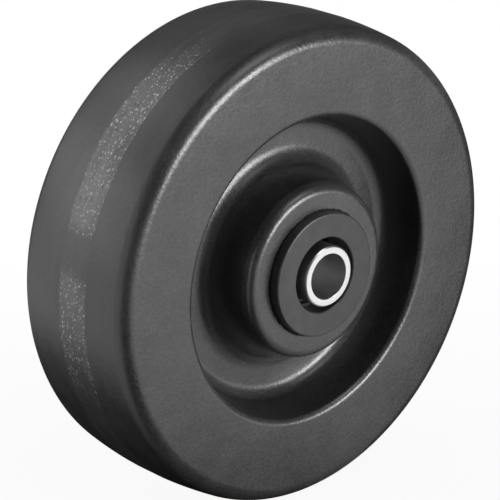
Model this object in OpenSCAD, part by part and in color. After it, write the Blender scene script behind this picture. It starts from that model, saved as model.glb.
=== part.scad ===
// Solid phenolic castor wheel with a caged roller bearing on a steel axle sleeve.
// Millimetres. The origin is the middle of the wheel, the axle lies along Y and the front faces -Y.

/* [Tread] */
// Diameter over the ground band of the tread
wheel_d = 203.2; // [190:0.1:230]
// Width between the two rim faces
tread_w = 63.5; // [56:0.1:68]
// Width of the flat band that is ground round the middle of the tread
band_w = 12.7; // [6:0.1:20]
// Radius of the crown that the moulded tread has across its width
crown_r = 180; // [120:1:400]
// Radius of the shoulder between the tread and a rim face
shoulder_r = 7; // [3:0.1:9]

/* [Dish] */
// Diameter at which the wall of the dish meets the rim face
mouth_d = 128.4; // [120:0.1:136]
// Radius that rounds the mouth of the dish
mouth_edge_r = 3; // [1:0.1:4]
// Depth of the dish below the rim face
dish_depth = 20.3; // [12:0.1:22]
// Slope of the wall of the dish away from the axle, in degrees
wall_draft = 15; // [6:0.5:18]
// Radius in the corner between the wall and the floor of the dish
wall_fillet_r = 6; // [3:0.1:7]

/* [Hub] */
// Length of the moulded hub over its two faces
hub_len = 69.85; // [66:0.05:74]
// Diameter of the hub at its faces
hub_d = 71.4; // [66:0.1:76]
// Radius that rounds the edge of a hub face
hub_edge_r = 5; // [2:0.1:5.6]
// Slope of the flank of the hub away from the axle, in degrees
flank_draft = 16; // [6:0.5:18]
// Radius between the flank of the hub and the floor of the dish
flank_fillet_r = 8; // [4:0.1:9]

/* [Axle sleeve] */
// Bore of the sleeve, clear of a three quarter inch axle bolt
bore_d = 19.1; // [16:0.05:20]
// Outside diameter of the sleeve, which is the inner track of the rollers
sleeve_d = 25.4; // [24:0.05:27]
// Length of the sleeve, clamped between the fork legs
sleeve_len = 82.55; // [81:0.05:86]
// Chamfer on the outer edge of each end of the sleeve
sleeve_chamfer = 0.5; // [0.2:0.05:1]
// Chamfer on the bore at each end of the sleeve
bore_chamfer = 0.2; // [0.1:0.05:0.8]

/* [Roller bearing] */
// Number of rollers
roller_count = 10; // [8:1:10]
// Diameter of a roller
roller_d = 7.94; // [7:0.01:8.2]
// Chamfer on each end of a roller
roller_chamfer = 0.5; // [0.2:0.05:1]
// Running clearance between a roller and each of its two tracks
roller_play = 0.03; // [0.01:0.01:0.06]
// Clearance between a roller and the pocket of the cage, on the radius
pocket_play = 0.1; // [0.05:0.01:0.2]
// Clearance between the end of a roller and the end of its pocket
pocket_end_play = 0.2; // [0.1:0.05:0.5]
// Thickness of the cage, on the radius
cage_wall = 4.2; // [3:0.1:5]
// Width of the ring that closes each end of the cage
cage_ring_w = 3; // [2:0.1:5]
// Clearance between the cage and the retainer at each end
cage_end_play = 0.3; // [0.1:0.05:0.6]
// Wall of the steel outer race, pressed into the hub
race_wall = 1.55; // [1.2:0.05:2]
// Chamfer on the bore of the outer race at each end
race_chamfer = 0.5; // [0.2:0.05:0.8]

/* [Retainers] */
// Diameter of the flange of a retainer
flange_d = 52; // [50:0.1:58]
// Thickness of the flange, which stands proud of the hub face
flange_t = 4.3; // [3:0.1:5.4]
// Radius that rounds the rim of the flange
flange_edge_r = 0.8; // [0.5:0.1:2]
// Diameter of the hole that clears the sleeve
hole_d = 31.6; // [30:0.1:33]
// Chamfer on the outer edge of that hole
hole_chamfer = 0.4; // [0.2:0.05:0.8]
// Length of the spigot that is pressed into the hub
spigot_len = 5; // [3:0.1:8]

/* [Hidden] */
$fn = 96;
roller_names = [for (i = [1:roller_count]) str("roller_", i)];

// How far a corner cut on a sloping side reaches into the arc that rounds it
arc_overlap = 0.0005;

wheel_r = wheel_d / 2;
rim_face = tread_w / 2;
crown_centre = wheel_r - sqrt(pow(crown_r, 2) - pow(band_w / 2, 2));
shoulder_h = rim_face - shoulder_r;
shoulder_centre = crown_centre + sqrt(pow(crown_r - shoulder_r, 2) - pow(shoulder_h, 2));
crown_end = [crown_centre, 0]
    + [shoulder_centre - crown_centre, shoulder_h] * crown_r / (crown_r - shoulder_r);
dish_floor = rim_face - dish_depth;
dish_foot_r = mouth_d / 2 - dish_depth * tan(wall_draft);
hub_face = hub_len / 2;
flank_foot_r = hub_d / 2 + (hub_face - dish_floor) * tan(flank_draft);

pitch_r = sleeve_d / 2 + roller_play + roller_d / 2;
track_r = pitch_r + roller_d / 2 + roller_play;
hub_bore_r = track_r + race_wall;
race_end = hub_face - spigot_len;
cage_end = race_end - cage_end_play;
pocket_end = cage_end - cage_ring_w;
roller_end = pocket_end - pocket_end_play;

phenolic_black = [0.2, 0.2, 0.205];
retainer_black = [0.27, 0.27, 0.275];
bright_steel = [0.8, 0.81, 0.82];
roller_steel = [0.62, 0.63, 0.65];
cage_steel = [0.45, 0.44, 0.42];

// The two halves of an outline that is the same on both sides of the middle plane.
// A corner is [radius from the axle, height from the middle plane, rounding].
function both_sides(corners) = concat(
    corners,
    [for (i = [len(corners) - 1:-1:0]) [corners[i][0], -corners[i][1], corners[i][2]]]
);
function at(corners, i) = let (c = corners[(i + len(corners)) % len(corners)]) [c[0], c[1]];
function unit(v) = v / norm(v);
// The way from a corner towards the one before it and the one after it
function before(corners, i) = unit(at(corners, i - 1) - at(corners, i));
function after(corners, i) = unit(at(corners, i + 1) - at(corners, i));
function half_angle(corners, i) = acos(before(corners, i) * after(corners, i)) / 2;
// Above 0 where the outline turns left, round a corner that sticks out
function turn(corners, i) = cross(after(corners, i), before(corners, i));
function arc_centre(corners, i) = at(corners, i)
    + unit(before(corners, i) + after(corners, i)) * corners[i][2] / sin(half_angle(corners, i));
// The two points where a corner is cut off to be rounded, or the sharp corner itself
function cut_corner(corners, i) = corners[i][2] == 0 ? [at(corners, i)] : [
    for (way = [before(corners, i), after(corners, i)])
        let (
            touch = at(corners, i) + way * corners[i][2] / tan(half_angle(corners, i)),
            overlap = min(abs(way[0]), abs(way[1])) > 0.001 ? arc_overlap : 0
        )
            touch + unit(arc_centre(corners, i) - touch) * overlap
];

// The circles of the rounded corners that stick out, with side 1, or that lie in a hollow, with -1
module corner_circles(corners, side) {
    for (i = [0:len(corners) - 1])
        if (corners[i][2] > 0 && turn(corners, i) * side > 0)
            translate(arc_centre(corners, i)) circle(corners[i][2]);
}

// An outline, drawn anticlockwise, whose corners are rounded by true arcs
module rounded_outline(corners) {
    difference() {
        union() {
            polygon([for (i = [0:len(corners) - 1]) each cut_corner(corners, i)]);
            corner_circles(corners, 1);
        }
        corner_circles(corners, -1);
    }
}

// Turns an outline about the axle, with its height towards the front
module turned() {
    rotate([90, 0, 0]) rotate_extrude() children();
}

// The crown of the tread, ground flat along the band, and the round shoulders that end it
module tread_outline() {
    intersection() {
        translate([crown_centre, 0]) circle(crown_r);
        translate([shoulder_centre, -crown_end[1]])
            square([wheel_r - shoulder_centre, 2 * crown_end[1]]);
    }
    for (side = [-1, 1]) translate([shoulder_centre, side * shoulder_h]) circle(shoulder_r);
}

// The web, the dishes and the hub, out to the shoulders of the tread
module body_outline() {
    rounded_outline(both_sides([
        [crown_end[0], crown_end[1], 0],
        [shoulder_centre, rim_face, 0],
        [mouth_d / 2, rim_face, mouth_edge_r],
        [dish_foot_r, dish_floor, wall_fillet_r],
        [flank_foot_r, dish_floor, flank_fillet_r],
        [hub_d / 2, hub_face, hub_edge_r],
        [hub_bore_r, hub_face, 0]
    ]));
}

// The one-piece moulding: tread, rim, dished web and hub
module wheel() {
    color(phenolic_black) turned() {
        tread_outline();
        body_outline();
    }
}

// Steel tube pressed into the hub, the outer track of the rollers
module outer_race() {
    color(roller_steel) turned() rounded_outline(both_sides([
        [hub_bore_r, race_end, 0],
        [track_r + race_chamfer, race_end, 0],
        [track_r, race_end - race_chamfer, 0]
    ]));
}

// Steel tube that the axle bolt clamps, the inner track of the rollers
module inner_sleeve() {
    sleeve_end = sleeve_len / 2;
    color(bright_steel) turned() rounded_outline(both_sides([
        [sleeve_d / 2, sleeve_end - sleeve_chamfer, 0],
        [sleeve_d / 2 - sleeve_chamfer, sleeve_end, 0],
        [bore_d / 2 + bore_chamfer, sleeve_end, 0],
        [bore_d / 2, sleeve_end - bore_chamfer, 0]
    ]));
}

// Places its children on the axis of one roller
module at_roller(i) {
    rotate([0, 360 / roller_count * (i - 1), 0]) translate([0, 0, pitch_r]) children();
}

// Ring with a pocket round each roller, whose bars hug the rollers and keep them apart
module roller_cage() {
    color(cage_steel) difference() {
        turned() translate([pitch_r - cage_wall / 2, -cage_end]) square([cage_wall, 2 * cage_end]);
        for (i = [1:roller_count])
            at_roller(i) rotate([90, 0, 0])
                cylinder(r = roller_d / 2 + pocket_play, h = 2 * pocket_end, center = true);
    }
}

module roller(i) {
    color(roller_steel) at_roller(i) turned() polygon([
        [0, -roller_end],
        [roller_d / 2 - roller_chamfer, -roller_end],
        [roller_d / 2, roller_chamfer - roller_end],
        [roller_d / 2, roller_end - roller_chamfer],
        [roller_d / 2 - roller_chamfer, roller_end],
        [0, roller_end]
    ]);
}

// Flanged ring pressed into one end of the hub, which keeps the rollers in
module retainer() {
    flange_face = hub_face + flange_t;
    color(retainer_black) turned() rounded_outline([
        [hole_d / 2, race_end, 0],
        [hub_bore_r, race_end, 0],
        [hub_bore_r, hub_face, 0],
        [flange_d / 2, hub_face, 0],
        [flange_d / 2, flange_face, flange_edge_r],
        [hole_d / 2 + hole_chamfer, flange_face, 0],
        [hole_d / 2, flange_face - hole_chamfer, 0]
    ]);
}

module retainer_front() {
    retainer();
}

module retainer_back() {
    mirror([0, 1, 0]) retainer();
}

wheel();
outer_race();
roller_cage();
inner_sleeve();
retainer_front();
retainer_back();
for (i = [1:roller_count])
    roller(i);
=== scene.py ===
"""Looks of the phenolic castor wheel: one moulding with a ground band round its tread, two black
retainers and a bright axle sleeve. Metres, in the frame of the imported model: the axle along Y, the
photographed face towards -Y."""

import math

import bpy
import numpy as np
from mathutils import Matrix, Vector


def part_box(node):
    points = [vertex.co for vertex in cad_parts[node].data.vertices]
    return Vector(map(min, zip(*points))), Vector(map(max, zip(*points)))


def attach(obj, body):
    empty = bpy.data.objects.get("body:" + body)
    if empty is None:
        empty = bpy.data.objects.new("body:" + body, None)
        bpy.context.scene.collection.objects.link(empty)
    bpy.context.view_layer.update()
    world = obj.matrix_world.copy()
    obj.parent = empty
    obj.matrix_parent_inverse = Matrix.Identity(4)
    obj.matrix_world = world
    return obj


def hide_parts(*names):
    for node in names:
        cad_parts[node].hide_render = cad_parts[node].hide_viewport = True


MM = 0.001

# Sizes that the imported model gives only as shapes, as in the part's source
BAND_W = 12.7 * MM
CROWN_R = 180 * MM
SHOULDER_R = 7 * MM
MOUTH_R = 64.2 * MM
MOUTH_EDGE_R = 3 * MM
RIM_FACE = 31.75 * MM
DISH_FLOOR = 11.45 * MM
WALL_DRAFT = 15
WALL_FILLET_R = 6 * MM
HUB_R = 35.7 * MM
HUB_FACE = 34.925 * MM
HUB_BORE_R = 22.25 * MM
FLANK_DRAFT = 16
FLANK_FILLET_R = 8 * MM
FLANGE_EDGE_R = 0.8 * MM
HOLE_R = 15.8 * MM
HOLE_CHAMFER = 0.4 * MM
RACE_END = 29.925 * MM
SLEEVE_CHAMFER = 0.5 * MM
BORE_R = 9.55 * MM
BORE_CHAMFER = 0.2 * MM
# The edge of the hub's face, a little tighter here than the 5 mm of the source
HUB_EDGE_R = 4 * MM

# How finely outlines are drawn: the pieces round the axle, along half the crown and along a shoulder, and
# for any other arc the most that a piece turns and the fewest pieces
LATHE_STEPS = 384
CROWN_STEPS = 8
SHOULDER_STEPS = 20
ARC_STEP = math.radians(6)
LEAST_ARC_STEPS = 3

# The camera's place round the wheel, fitted to the photograph
CAMERA_AZIMUTH = -42.34
CAMERA_ELEVATION = 20.55
CAMERA_DISTANCE = 1.07
CAMERA_CLIP = (0.05, 50)
SENSOR_MM = 36
FOCAL_PX = 2590
FRAME_PX = 500
CENTRE_PX = (259.3, 250.0)

# The studio: each lamp's azimuth and elevation in degrees, its distance, its width and height in metres,
# and its power in watts
LAMPS = [
    ("front_card", -70, 8.5, 1.9, (0.8, 0.6), 25),
    ("front_strip", -58, 2.5, 1.9, (0.3, 0.3), 3),
    ("front_top", -67, 55, 1.9, (0.9, 0.9), 6.1),
    ("back_card", 135, 22, 1.9, (0.6, 0.5), 4.4),
    ("back_soft", 112, 22, 1.9, (0.6, 0.5), 2.2),
    ("back_low", 143, 8, 1.9, (1.3, 0.25), 3.1),
    ("back_top", 107, 46, 1.9, (1.1, 0.7), 5.1),
    ("left_strip", 174, 26, 1.9, (0.3, 0.5), 1.9),
    ("left_front", -170, 12, 1.9, (0.6, 0.6), 1.9),
    ("back_right", 56, 32, 1.9, (0.8, 0.6), 0.7),
]
# The dim room, and the white horizon in it that gloss shows: its strength, and the sine of the elevation
# at which it has faded
AMBIENT = 0.02
HORIZON_STRENGTH = 0.6
HORIZON_FADE = 0.08

FLOOR_REACH = 6
FLOOR_ROUGHNESS = 0.9
# The floor's tone for the light that it throws back, and for the camera, which sees it nearly white near
# the wheel and plain white from this distance on
BOUNCE_TONE = 0.1
SEEN_TONE = 0.75
WHITE_SHARE = 0.93
WHITE_FROM = 0.35
# Painted dark reflections: wedges where gloss shows black in place of the white floor: the azimuth of each
# and half its spread, in degrees, and how far its edges fade, as cosines
PAINTED_DARK_WEDGES = [(-135, 22), (8, 43), (88, 22)]
DARK_WEDGE_FADE = (-0.05, 0.03)
# The wheel's shadow as gloss shows it, painted into the floor's white: its middle, how far from there it
# starts and stops to fade, and the same for the painted dimness that the floor keeps round the wheel
SHADOW_MIDDLE = (-0.045, 0.085, 0)
SHADOW_FADE = (0.115, 0.155)
DIM_FADE = (-0.05, 0.25)

# Parts of the moulding, by the radius or the distance from the middle plane, in millimetres, over which
# each begins or ends
TREAD_FROM = (96.5, 100.0)
SUNK_FROM = (13.0, 17.0)
SUNK_TO = (29.5, 31.0)
INSIDE_RIM = (66.0, 70.0)
# Where the tread is ground, across the wheel in millimetres: its front edge and its back edge, how far
# each wanders, and where the scuffs behind it end
BAND_FRONT = (-10.4, -10.0)
BAND_BACK = (6.4, 8.2)
FRONT_WANDER_MM = 1.2
BACK_WANDER_MM = 5.0
SCUFF_END = (8.0, 14.0)
# Stretches of the band that the grinding barely touched: the middle, from the top towards +X, the half
# width that is bare of it and the one where it is whole again, all in degrees, and what is left there
SKIPS = [(-130, 3, 50), (-76, 3, 7), (6, 17, 54)]
SKIP_LEAVES = 0.12
# How the smear thins the grinding, down to a share of it, and how much of the old tone grinding covers
WORN = (0.36, 0.52, 0.45, 1.0)
GROUND_COVER = 0.9
# The share of grinding over which fibres and pits come out, and how grit dims the fibres
FIBRES_FROM = (0.08, 0.45)
PITS_FROM = (0.1, 0.5)
FIBRE_GRIT = (0.25, 0.6, 0.6, 1.0)
# The streaks and the smears that the scuffs follow
SCUFF_STREAK = (0.5, 0.75)
SCUFF_SMEAR = (0.45, 0.6)
# How far from the retainer's rim the dark, dull, ragged ring on the hub's face reaches, in millimetres, its
# tone, its shine, and the roughness that it adds
DARK_RING_EDGE = (1.9, 2.2)
DARK_RING_WANDER_MM = 2.5
DARK_RING_TONE = 0.008
DARK_RING_SPECULAR = 0.1
DARK_RING_ROUGHNESS = 0.3

# Noise over the moulding: the size of its spots in millimetres, its detail and its roughness
PEBBLE = (1.3, 2.0, 0.5)
GRAIN = (0.9, 2.0, 0.6)
MOTTLE = (14.0, 3.0, 0.6)
DARK_RING_NOISE = (1.6, 3.0, 0.7)
# Noise round the tread, whose spots have a length round the wheel and a width across it
STREAK = (16.0, 0.9, 3.0, 0.6)
SMEAR = (34.0, 7.0, 3.0, 0.6)
GRIT = (0.9, 0.55, 2.0, 0.7)
FRONT_WANDER = (25.0, 9.0, 2.0, 0.5)
BACK_WANDER = (5.0, 3.0, 3.0, 0.6)
# Specks round the tread: the length and width of their cells, their radius as a share of a cell, and the
# share of the cells that hold one
FIBRES = [(1.7, 1.0, 0.42, 0.5), (1.15, 0.75, 0.42, 0.4)]
PITS = (4.2, 3.0, 0.32, 0.35)
# Chance gives each speck its radius, from the first share of the given one up by the second, and its
# strength, from the faintest up to 1. The core of a speck is whole and the rest of it fades
SPECK_RADII = (0.5, 0.7)
SPECK_CORE = 0.55
FAINTEST_SPECK = 0.3
# The part of its range that noise hardly leaves
NOISE_RANGE = (0.2, 0.8)
# How far noise swings the moulding's tone, as a share of it, and its roughness
MOTTLE_SWING = 0.15
GRAIN_SWING = 0.4
STREAK_SWING = 0.15
SMEAR_SWING = 0.2
ROUGHNESS_SWING = 0.03
# How much each noise counts in the moulding's relief, where mottling counts as 1
PEBBLE_WEIGHT = 0.4
TREAD_PEBBLE_WEIGHT = 0.3
STREAK_WEIGHT = 0.1
GRIT_WEIGHT = 0.15
PIT_WEIGHT = -0.4

# Tones and roughnesses. The walls of the dish have only a share of the moulding's tone: painted shade in the
# recess
PHENOLIC_IOR = 1.69
SPECULAR = 0.5
MOULDED_TONE = 0.042
RECESS_SHADE_SHARE = 0.35
MOULDED_ROUGHNESS = 0.32
TREAD_ROUGHNESS = 0.45
GROUND_TONE = 0.19
FIBRE_TONE = 0.95
FIBRE_ROUGHNESS = 0.1
PIT_TONE = 0.01
SCUFF_TONE = 0.03
PHENOLIC_RELIEF = 0.2 * MM
RETAINER_IOR = 1.53
RETAINER_TONE = 0.05
RETAINER_ROUGHNESS = 0.34
RETAINER_RELIEF = 0.01 * MM
# Noise on the retainers, as on the moulding: clouds, fine speckle and the rings of the mould
CLOUD = (9.0, 3.0, 0.6)
CLOUD_SWING = 0.25
CLOUD_ROUGHNESS_SWING = 0.04
SPECKLE = (0.5, 2.0, 0.5)
SPECKLE_SWING = 0.15
SPECKLE_WEIGHT = 0.3
MOULD_RINGS = (0.5, 2.0, 0.6)
RING_ROUGHNESS_SWING = 0.02
RING_WEIGHT = 0.4
# Noise on the steels: the turning lines with the tones that they give, and stains
TURNING_LINES = (0.3, 2.0, 0.7)
LINE_TONES = (0.92, 1.05)
LINE_ROUGHNESS_SWING = 0.04
TURNING_RELIEF = 0.004 * MM
STAIN = (3.0, 4.0, 0.65)
STAINED_FROM = (0.45, 0.75)
# Each steel's tone, its roughness and how much grime it has. The low tones of the rollers and the cage are
# painted shade deep in the gap round the sleeve, on top of their grime
STEELS = {
    "sleeve_steel": (0.75, 0.34, 0.0),
    "roller_steel": (0.12, 0.55, 0.6),
    "cage_steel": (0.07, 0.65, 0.8),
}
# What grime leaves of a steel's tone, and adds to its roughness
GRIMY_SHARE = 0.35
GRIMY_ROUGHNESS = 0.25


def unit(v):
    return v / np.linalg.norm(v)


def arc_steps(turn):
    """How many pieces an arc takes to look smooth."""
    return max(LEAST_ARC_STEPS, math.ceil(abs(turn) / ARC_STEP))


def rounded(corners):
    """Points along a closed outline whose corners (radius, height, rounding) are arcs, and which are
    sharp."""
    points, sharp = [], []
    count = len(corners)
    for i, (r, h, rounding) in enumerate(corners):
        tip = np.array([r, h])
        if not rounding:
            points.append(tip)
            sharp.append(True)
            continue
        before = unit(np.array(corners[i - 1][:2]) - tip)
        after = unit(np.array(corners[(i + 1) % count][:2]) - tip)
        half = math.acos(float(before @ after)) / 2
        centre = tip + unit(before + after) * rounding / math.sin(half)
        start = tip + before * rounding / math.tan(half) - centre
        end = tip + after * rounding / math.tan(half) - centre
        turn = math.atan2(start[0] * end[1] - start[1] * end[0], float(start @ end))
        steps = arc_steps(turn)
        for k in range(steps + 1):
            a = turn * k / steps
            c, s = math.cos(a), math.sin(a)
            points.append(centre + np.array([c * start[0] - s * start[1], s * start[0] + c * start[1]]))
            sharp.append(False)
    return np.array(points), sharp


def both_sides(corners):
    """An outline that is the same on both sides of the middle plane."""
    return corners + [(r, -h, rounding) for r, h, rounding in reversed(corners)]


def lathe(name, outline, sharp):
    """A closed outline of (radius, height towards the front), turned about the axle."""
    count = len(outline)
    angles = np.arange(LATHE_STEPS) * 2 * math.pi / LATHE_STEPS
    verts = np.empty((LATHE_STEPS, count, 3))
    verts[:, :, 0] = np.sin(angles)[:, None] * outline[:, 0]
    verts[:, :, 1] = -outline[:, 1]
    verts[:, :, 2] = np.cos(angles)[:, None] * outline[:, 0]
    here = np.arange(LATHE_STEPS)[:, None] * count + np.arange(count)
    along = np.roll(here, -1, axis=1)
    beside = np.roll(here, -1, axis=0)
    across = np.roll(along, -1, axis=0)
    faces = np.stack([here, along, across, beside], axis=-1).reshape(-1, 4)
    mesh = bpy.data.meshes.new(name)
    mesh.from_pydata(verts.reshape(-1, 3).tolist(), [], faces.tolist())
    mesh.update()
    mesh.polygons.foreach_set("use_smooth", [True] * len(mesh.polygons))
    pairs = np.empty(len(mesh.edges) * 2, int)
    mesh.edges.foreach_get("vertices", pairs)
    pairs = pairs.reshape(-1, 2)
    ring = (pairs[:, 0] % count) == (pairs[:, 1] % count)
    marks = mesh.attributes.new("sharp_edge", "BOOLEAN", "EDGE")
    marks.data.foreach_set("value", ring & np.array(sharp)[pairs[:, 0] % count])
    obj = bpy.data.objects.new(name, mesh)
    bpy.context.scene.collection.objects.link(obj)
    return obj


def wheel_outline(wheel_r):
    """The moulding's outline, from the crown of the tread round to the bore of the hub."""
    crown_centre = wheel_r - math.sqrt(CROWN_R**2 - (BAND_W / 2) ** 2)
    shoulder_h = RIM_FACE - SHOULDER_R
    shoulder_centre = crown_centre + math.sqrt((CROWN_R - SHOULDER_R) ** 2 - shoulder_h**2)
    band_angle = math.asin(BAND_W / 2 / CROWN_R)
    shoulder_angle = math.atan2(shoulder_h, shoulder_centre - crown_centre)
    points = []
    for k in range(CROWN_STEPS + 1):
        a = band_angle + (shoulder_angle - band_angle) * k / CROWN_STEPS
        points.append([crown_centre + CROWN_R * math.cos(a), CROWN_R * math.sin(a)])
    for k in range(1, SHOULDER_STEPS + 1):
        a = shoulder_angle + (math.pi / 2 - shoulder_angle) * k / SHOULDER_STEPS
        points.append([shoulder_centre + SHOULDER_R * math.cos(a), shoulder_h + SHOULDER_R * math.sin(a)])
    sharp = [False] * len(points)
    wall_foot = MOUTH_R - (RIM_FACE - DISH_FLOOR) * math.tan(math.radians(WALL_DRAFT))
    flank_foot = HUB_R + (HUB_FACE - DISH_FLOOR) * math.tan(math.radians(FLANK_DRAFT))
    inner, inner_sharp = rounded([
        (points[-1][0], RIM_FACE, 0),
        (MOUTH_R, RIM_FACE, MOUTH_EDGE_R),
        (wall_foot, DISH_FLOOR, WALL_FILLET_R),
        (flank_foot, DISH_FLOOR, FLANK_FILLET_R),
        (HUB_R, HUB_FACE, HUB_EDGE_R),
        (HUB_BORE_R, HUB_FACE, 0),
        (HUB_BORE_R, 0, 0),
    ])
    points = np.vstack([points, inner[1:]])
    sharp = sharp + inner_sharp[1:]
    sharp[-1] = False
    mirrored = points[-2::-1] * [1, -1]
    return np.vstack([points, mirrored]), sharp + sharp[-2::-1]


def retainer_outline(flange_r, flange_face):
    return rounded([
        (HOLE_R, RACE_END, 0),
        (HUB_BORE_R, RACE_END, 0),
        (HUB_BORE_R, HUB_FACE, 0),
        (flange_r, HUB_FACE, 0),
        (flange_r, flange_face, FLANGE_EDGE_R),
        (HOLE_R + HOLE_CHAMFER, flange_face, 0),
        (HOLE_R, flange_face - HOLE_CHAMFER, 0),
    ])


def sleeve_outline(sleeve_r, end):
    return rounded(both_sides([
        (sleeve_r, end - SLEEVE_CHAMFER, 0),
        (sleeve_r - SLEEVE_CHAMFER, end, 0),
        (BORE_R + BORE_CHAMFER, end, 0),
        (BORE_R, end - BORE_CHAMFER, 0),
    ]))


class Graph:
    """The nodes of a material or of the world, written as expressions on their sockets."""

    def __init__(self, owner, **uniform):
        owner.use_nodes = True
        self.owner = owner
        self.tree = owner.node_tree
        self.shader = self.tree.nodes.get("Principled BSDF")
        for socket, value in uniform.items():
            self.shader.inputs[socket.replace("_", " ")].default_value = value

    def feed(self, socket, value):
        if isinstance(value, bpy.types.NodeSocket):
            self.tree.links.new(value, socket)
        else:
            socket.default_value = value

    def node(self, kind, values=(), named=None, **settings):
        node = self.tree.nodes.new(kind)
        for key, value in settings.items():
            setattr(node, key, value)
        for socket, value in zip(node.inputs, values):
            self.feed(socket, value)
        for socket, value in (named or {}).items():
            self.feed(node.inputs[socket], value)
        return node

    def math(self, operation, *values):
        return self.node("ShaderNodeMath", values, operation=operation).outputs[0]

    def add(self, *values):
        total = values[0]
        for value in values[1:]:
            total = self.math("ADD", total, value)
        return total

    def times(self, *values):
        product = values[0]
        for value in values[1:]:
            product = self.math("MULTIPLY", product, value)
        return product

    def step(self, value, low, high, to_low=0.0, to_high=1.0):
        """A smooth step as value goes from low to high."""
        return self.node(
            "ShaderNodeMapRange", (value, low, high, to_low, to_high), interpolation_type="SMOOTHSTEP"
        ).outputs[0]

    def around(self, noise, middle, swing):
        """Noise as a number that swings evenly about a middle one."""
        return self.step(noise, *NOISE_RANGE, middle - swing, middle + swing)

    def blend(self, share, first, second):
        return self.node("ShaderNodeMix", (share,), {2: first, 3: second}).outputs[0]

    def combine(self, x, y, z):
        return self.node("ShaderNodeCombineXYZ", (x, y, z)).outputs[0]

    def grey(self, tone):
        return self.node("ShaderNodeCombineColor", (tone, tone, tone)).outputs[0]

    def place(self):
        """The place on the part in millimetres: a vector, its three numbers, and the way to the axle."""
        metres = self.node("ShaderNodeTexCoord").outputs["Object"]
        to_mm = {"Scale": 1 / MM}
        vector = self.node("ShaderNodeVectorMath", (metres,), to_mm, operation="SCALE").outputs[0]
        x, y, z = self.node("ShaderNodeSeparateXYZ", (vector,)).outputs
        radius = self.math("SQRT", self.add(self.times(x, x), self.times(z, z)))
        return vector, x, y, z, radius

    def noise(self, vector, size, detail, roughness):
        """Soft noise between 0 and 1, whose spots are about size across."""
        values = {"Vector": vector, "Scale": 1 / size, "Detail": detail, "Roughness": roughness}
        return self.node("ShaderNodeTexNoise", (), values).outputs[0]

    def specks(self, vector, radius, share):
        """Round specks of about the given radius, in the given share of the unit cells, and 0 between
        them."""
        cells = self.node("ShaderNodeTexVoronoi", (), {"Vector": vector, "Scale": 1.0})
        pick = self.node("ShaderNodeSeparateColor", (cells.outputs["Color"],)).outputs
        least, chance = SPECK_RADII
        reach = self.math("MULTIPLY_ADD", pick[1], radius * chance, radius * least)
        inside = self.step(cells.outputs["Distance"], self.times(reach, SPECK_CORE), reach, 1.0, 0.0)
        strength = self.math("MULTIPLY_ADD", pick[2], 1 - FAINTEST_SPECK, FAINTEST_SPECK)
        return self.times(inside, strength, self.math("LESS_THAN", pick[0], share))

    def finish(self, tone, roughness, height, depth):
        """Joins a grey tone, a roughness and a relief of the given depth in metres to the shader."""
        self.feed(self.shader.inputs["Base Color"], self.grey(tone))
        self.feed(self.shader.inputs["Roughness"], roughness)
        relief = self.node("ShaderNodeBump", (), {"Height": height, "Distance": depth, "Strength": 1.0})
        self.feed(self.shader.inputs["Normal"], relief.outputs[0])
        return self.owner


def ground_share(g, round_x, round_z, front_edge, back_edge):
    """1 where the tread is ground, 0 beside the band, and between them where the grinding skipped."""
    band = g.times(g.step(front_edge, *BAND_FRONT), g.step(back_edge, *BAND_BACK, 1.0, 0.0))
    for middle, bare, whole in SKIPS:
        at = math.radians(middle)
        cosine = g.add(g.times(round_x, math.sin(at)), g.times(round_z, math.cos(at)))
        edges = (math.cos(math.radians(whole)), math.cos(math.radians(bare)))
        band = g.times(band, g.step(cosine, *edges, 1.0, SKIP_LEAVES))
    return band


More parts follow.
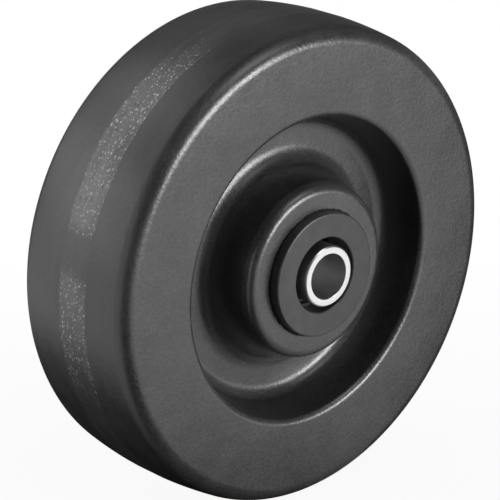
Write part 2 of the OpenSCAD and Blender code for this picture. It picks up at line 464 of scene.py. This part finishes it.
def phenolic_material(tread_mm, flange_mm):
    """Black moulding: fine pebble and mottling, streaks round the tread, and the ground band that bares
    the pale fibres of the filler. The two sizes are the radii of the tread and of a retainer."""
    g = Graph(bpy.data.materials.new("phenolic"), IOR=PHENOLIC_IOR)
    place, x, y, z, radius = g.place()
    round_x = g.math("DIVIDE", x, radius)
    round_z = g.math("DIVIDE", z, radius)

    def along(length, width):
        """A vector whose unit has the given length round the wheel and width across it."""
        turn = tread_mm / length
        return g.combine(g.times(round_x, turn), g.times(y, 1 / width), g.times(round_z, turn))

    def tread_noise(length, width, detail, roughness):
        return g.noise(along(length, width), 1.0, detail, roughness)

    def tread_specks(length, width, speck_r, share):
        return g.specks(along(length, width), speck_r, share)

    tread = g.step(radius, *TREAD_FROM)
    depth = g.math("ABSOLUTE", y)
    # The walls of the dish, where the tone is cut down as painted shade in the recess
    painted_recess_shade = g.times(
        g.step(depth, *SUNK_FROM), g.step(depth, *SUNK_TO, 1.0, 0.0), g.step(radius, *INSIDE_RIM, 1.0, 0.0)
    )
    pebble = g.noise(place, *PEBBLE)
    grain = g.noise(place, *GRAIN)
    mottle = g.noise(place, *MOTTLE)
    streak = tread_noise(*STREAK)
    smear = tread_noise(*SMEAR)
    grit = tread_noise(*GRIT)

    # The ground band with its pale fibres and its pits, and light scuffs behind it
    front_edge = g.math("MULTIPLY_ADD", tread_noise(*FRONT_WANDER), FRONT_WANDER_MM, y)
    back_edge = g.math("MULTIPLY_ADD", tread_noise(*BACK_WANDER), BACK_WANDER_MM, y)
    worn = g.step(smear, *WORN)
    ground = g.times(tread, ground_share(g, round_x, round_z, front_edge, back_edge), worn)
    fibres = g.math("MAXIMUM", *[tread_specks(*kind) for kind in FIBRES])
    fibre = g.times(fibres, g.step(ground, *FIBRES_FROM), g.step(grit, *FIBRE_GRIT))
    pit = g.times(tread_specks(*PITS), g.step(ground, *PITS_FROM))
    behind = g.times(g.step(back_edge, *BAND_BACK), g.step(y, *SCUFF_END, 1.0, 0.0))
    scuff = g.times(tread, behind, g.step(streak, *SCUFF_STREAK), g.step(smear, *SCUFF_SMEAR))

    # A dark, dull, ragged ring on the hub's face, round the retainer
    ragged = g.math("MULTIPLY_ADD", g.noise(place, *DARK_RING_NOISE), DARK_RING_WANDER_MM, radius)
    dark_ring = g.step(ragged, *[flange_mm + edge for edge in DARK_RING_EDGE], 1.0, 0.0)

    # The dish walls' share of the tone is painted shade
    tone = g.times(
        MOULDED_TONE,
        g.around(mottle, 1.0, MOTTLE_SWING),
        g.around(grain, 1.0, GRAIN_SWING),
        g.blend(tread, 1.0, g.around(streak, 1.0, STREAK_SWING)),
        g.blend(tread, 1.0, g.around(smear, 1.0, SMEAR_SWING)),
        g.blend(painted_recess_shade, 1.0, RECESS_SHADE_SHARE),
    )
    tone = g.blend(g.times(ground, GROUND_COVER), tone, g.around(grit, GROUND_TONE, GROUND_TONE / 2))
    tone = g.add(tone, g.times(scuff, SCUFF_TONE))
    tone = g.blend(dark_ring, tone, DARK_RING_TONE)
    tone = g.blend(fibre, tone, FIBRE_TONE)
    tone = g.blend(pit, tone, PIT_TONE)
    roughness = g.add(
        g.blend(tread, MOULDED_ROUGHNESS, TREAD_ROUGHNESS),
        g.around(mottle, 0.0, ROUGHNESS_SWING),
        g.around(grain, 0.0, ROUGHNESS_SWING),
        g.times(tread, g.around(streak, 0.0, ROUGHNESS_SWING)),
        g.times(fibre, FIBRE_ROUGHNESS),
        g.times(dark_ring, DARK_RING_ROUGHNESS),
    )
    relief = g.add(
        g.times(pebble, g.blend(tread, PEBBLE_WEIGHT, TREAD_PEBBLE_WEIGHT)),
        mottle,
        g.times(tread, streak, STREAK_WEIGHT),
        g.times(grit, ground, GRIT_WEIGHT),
        g.times(pit, PIT_WEIGHT),
    )
    g.feed(g.shader.inputs["Specular IOR Level"], g.step(dark_ring, 0.0, 1.0, SPECULAR, DARK_RING_SPECULAR))
    return g.finish(tone, roughness, relief, PHENOLIC_RELIEF)


def retainer_material():
    """Smooth black nylon with faint rings from its mould."""
    g = Graph(bpy.data.materials.new("retainer_plastic"), IOR=RETAINER_IOR)
    place, x, y, z, radius = g.place()
    rings = g.noise(g.combine(radius, y, 0.0), *MOULD_RINGS)
    cloud = g.noise(place, *CLOUD)
    speckle = g.noise(place, *SPECKLE)
    tone = g.times(RETAINER_TONE, g.around(cloud, 1.0, CLOUD_SWING), g.around(speckle, 1.0, SPECKLE_SWING))
    roughness = g.add(
        RETAINER_ROUGHNESS,
        g.around(cloud, 0.0, CLOUD_ROUGHNESS_SWING),
        g.around(rings, 0.0, RING_ROUGHNESS_SWING),
    )
    relief = g.add(g.times(rings, RING_WEIGHT), g.times(speckle, SPECKLE_WEIGHT), cloud)
    return g.finish(tone, roughness, relief, RETAINER_RELIEF)


def turned_steel(name):
    """Steel with fine turning lines round the axle, and dull patches where oil and dirt lie."""
    clean_tone, clean_roughness, grime = STEELS[name]
    g = Graph(bpy.data.materials.new(name), Metallic=1.0)
    place, x, y, z, radius = g.place()
    lines = g.noise(g.combine(radius, y, 0.0), *TURNING_LINES)
    dull = g.times(g.step(g.noise(place, *STAIN), *STAINED_FROM), grime)
    stained = g.blend(dull, clean_tone, clean_tone * GRIMY_SHARE)
    tone = g.times(stained, g.step(lines, *NOISE_RANGE, *LINE_TONES))
    roughness = g.add(
        clean_roughness, g.times(dull, GRIMY_ROUGHNESS), g.around(lines, 0.0, LINE_ROUGHNESS_SWING)
    )
    return g.finish(tone, roughness, lines, TURNING_RELIEF)


def dress(obj, mat):
    obj.data.materials.clear()
    obj.data.materials.append(mat)


def place_camera():
    a, e = math.radians(CAMERA_AZIMUTH), math.radians(CAMERA_ELEVATION)
    back = Vector((math.sin(a) * math.cos(e), -math.cos(a) * math.cos(e), math.sin(e)))
    right = Vector((math.cos(a), math.sin(a), 0))
    up = back.cross(right)
    aside = (CENTRE_PX[0] - FRAME_PX / 2) * CAMERA_DISTANCE / FOCAL_PX
    above = (FRAME_PX / 2 - CENTRE_PX[1]) * CAMERA_DISTANCE / FOCAL_PX
    data = bpy.data.cameras.new("camera")
    data.sensor_width = SENSOR_MM
    data.lens = FOCAL_PX / FRAME_PX * SENSOR_MM
    data.clip_start, data.clip_end = CAMERA_CLIP
    camera = bpy.data.objects.new("camera", data)
    camera.matrix_world = Matrix((
        (right.x, up.x, back.x, 0),
        (right.y, up.y, back.y, 0),
        (right.z, up.z, back.z, 0),
        (0, 0, 0, 1),
    ))
    camera.location = back * CAMERA_DISTANCE - right * aside - up * above
    bpy.context.scene.collection.objects.link(camera)
    bpy.context.scene.camera = camera


def heading(azimuth, elevation):
    """The direction of an azimuth round the wheel, from +X towards +Y, and an elevation, in degrees."""
    a, e = math.radians(azimuth), math.radians(elevation)
    return Vector((math.cos(a) * math.cos(e), math.sin(a) * math.cos(e), math.sin(e)))


def softbox(name, azimuth, elevation, distance, size, power):
    data = bpy.data.lights.new(name, "AREA")
    data.shape = "RECTANGLE"
    data.size, data.size_y = size
    data.energy = power
    lamp = bpy.data.objects.new(name, data)
    lamp.location = heading(azimuth, elevation) * distance
    lamp.rotation_euler = (-lamp.location).to_track_quat("-Z", "Y").to_euler()
    lamp.visible_camera = False
    bpy.context.scene.collection.objects.link(lamp)


def seen_rays(g):
    """1 for what the camera sees, and 1 for what gloss or glass shows."""
    path = g.node("ShaderNodeLightPath").outputs
    shown = g.math("MAXIMUM", path["Is Glossy Ray"], path["Is Transmission Ray"])
    return path["Is Camera Ray"], shown


def plain_floor(height):
    """A pale floor that fades to plain white away from the wheel and keeps the wheel's shadow. Gloss
    shows it white, with a painted shadow of the wheel, painted dimness round it and a few painted black
    wedges."""
    mesh = bpy.data.meshes.new("floor")
    corners = [(-1, -1), (1, -1), (1, 1), (-1, 1)]
    mesh.from_pydata([(x * FLOOR_REACH, y * FLOOR_REACH, 0) for x, y in corners], [], [(0, 1, 2, 3)])
    obj = bpy.data.objects.new("floor", mesh)
    obj.location.z = height
    bpy.context.scene.collection.objects.link(obj)

    g = Graph(bpy.data.materials.new("floor"), Roughness=FLOOR_ROUGHNESS, Specular_IOR_Level=0.0)
    place = g.node("ShaderNodeTexCoord").outputs["Object"]
    distance = g.node("ShaderNodeVectorMath", (place,), operation="LENGTH").outputs["Value"]
    to_shadow = g.node("ShaderNodeVectorMath", (place, SHADOW_MIDDLE), operation="DISTANCE")
    # Painted shadow and dimness round the wheel, and painted dark wedges, in what gloss shows of the floor
    clear = g.times(g.step(to_shadow.outputs["Value"], *SHADOW_FADE), g.step(distance, *DIM_FADE))
    for azimuth, spread in PAINTED_DARK_WEDGES:
        towards = g.node("ShaderNodeVectorMath", (place, heading(azimuth, 0)), operation="DOT_PRODUCT")
        cosine = g.math("DIVIDE", towards.outputs["Value"], distance)
        edges = [math.cos(math.radians(spread)) + fade for fade in DARK_WEDGE_FADE]
        clear = g.times(clear, g.step(cosine, *edges, 1.0, 0.0))

    camera, shown = seen_rays(g)
    g.feed(g.shader.inputs["Base Color"], g.grey(g.blend(camera, BOUNCE_TONE, SEEN_TONE)))
    share = g.add(shown, g.times(camera, g.step(distance, 0.0, WHITE_FROM, WHITE_SHARE, 1.0)))
    strength = g.add(camera, g.times(shown, clear))
    white = g.node("ShaderNodeEmission", (), {"Strength": strength}).outputs[0]
    mixed = g.node("ShaderNodeMixShader", (share, g.shader.outputs[0], white)).outputs[0]
    g.feed(g.tree.nodes["Material Output"].inputs["Surface"], mixed)
    dress(obj, g.owner)
    return obj


def white_world():
    """White where the camera looks, and at the horizon where gloss shows it, with a dim room round it."""
    world = bpy.data.worlds.new("studio")
    g = Graph(world)
    upward = g.node("ShaderNodeSeparateXYZ", (g.node("ShaderNodeTexCoord").outputs["Generated"],)).outputs[2]
    camera, shown = seen_rays(g)
    share = g.add(camera, g.times(shown, g.step(upward, 0.0, HORIZON_FADE, HORIZON_STRENGTH, 0.0)))
    background = g.tree.nodes["Background"].inputs
    g.feed(background["Color"], (1, 1, 1, 1))
    g.feed(background["Strength"], g.blend(share, AMBIENT, 1.0))
    bpy.context.scene.world = world


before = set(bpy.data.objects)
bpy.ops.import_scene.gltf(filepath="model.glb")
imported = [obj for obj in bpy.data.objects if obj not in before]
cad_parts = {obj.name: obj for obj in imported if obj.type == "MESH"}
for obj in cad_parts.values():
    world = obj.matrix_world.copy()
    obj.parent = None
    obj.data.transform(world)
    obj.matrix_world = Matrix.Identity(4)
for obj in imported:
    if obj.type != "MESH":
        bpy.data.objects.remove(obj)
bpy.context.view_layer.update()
bpy.context.scene.view_settings.view_transform = "Standard"
place_camera()

wheel_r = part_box("wheel")[1].x
flange_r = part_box("retainer_front")[1].x
flange_face = -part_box("retainer_front")[0].y
sleeve_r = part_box("inner_sleeve")[1].x
sleeve_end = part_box("inner_sleeve")[1].y

phenolic = phenolic_material(wheel_r / MM, flange_r / MM)
retainer_plastic = retainer_material()
sleeve_steel, roller_steel, cage_steel = [turned_steel(name) for name in STEELS]

moulding = lathe("wheel_moulding", *wheel_outline(wheel_r))
dress(moulding, phenolic)
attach(moulding, "wheel_body")
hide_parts("wheel")

for side in ("front", "back"):
    outline, sharp = retainer_outline(flange_r, flange_face)
    if side == "back":
        outline = outline[::-1] * [1, -1]
        sharp = sharp[::-1]
    ring = lathe("retainer_ring_" + side, outline, sharp)
    dress(ring, retainer_plastic)
    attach(ring, "wheel_body")
    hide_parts("retainer_" + side)

sleeve = lathe("axle_tube", *sleeve_outline(sleeve_r, sleeve_end))
dress(sleeve, sleeve_steel)
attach(sleeve, "axle_sleeve")
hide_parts("inner_sleeve")

# The rollers, race and cage take the dark steels, whose low tones are painted shade in the gap round the
# sleeve
for name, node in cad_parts.items():
    if name == "roller_cage":
        dress(node, cage_steel)
    elif name.startswith("roller") or name == "outer_race":
        dress(node, roller_steel)

floor = plain_floor(-wheel_r)
white_world()
for lamp in LAMPS:
    softbox(*lamp)
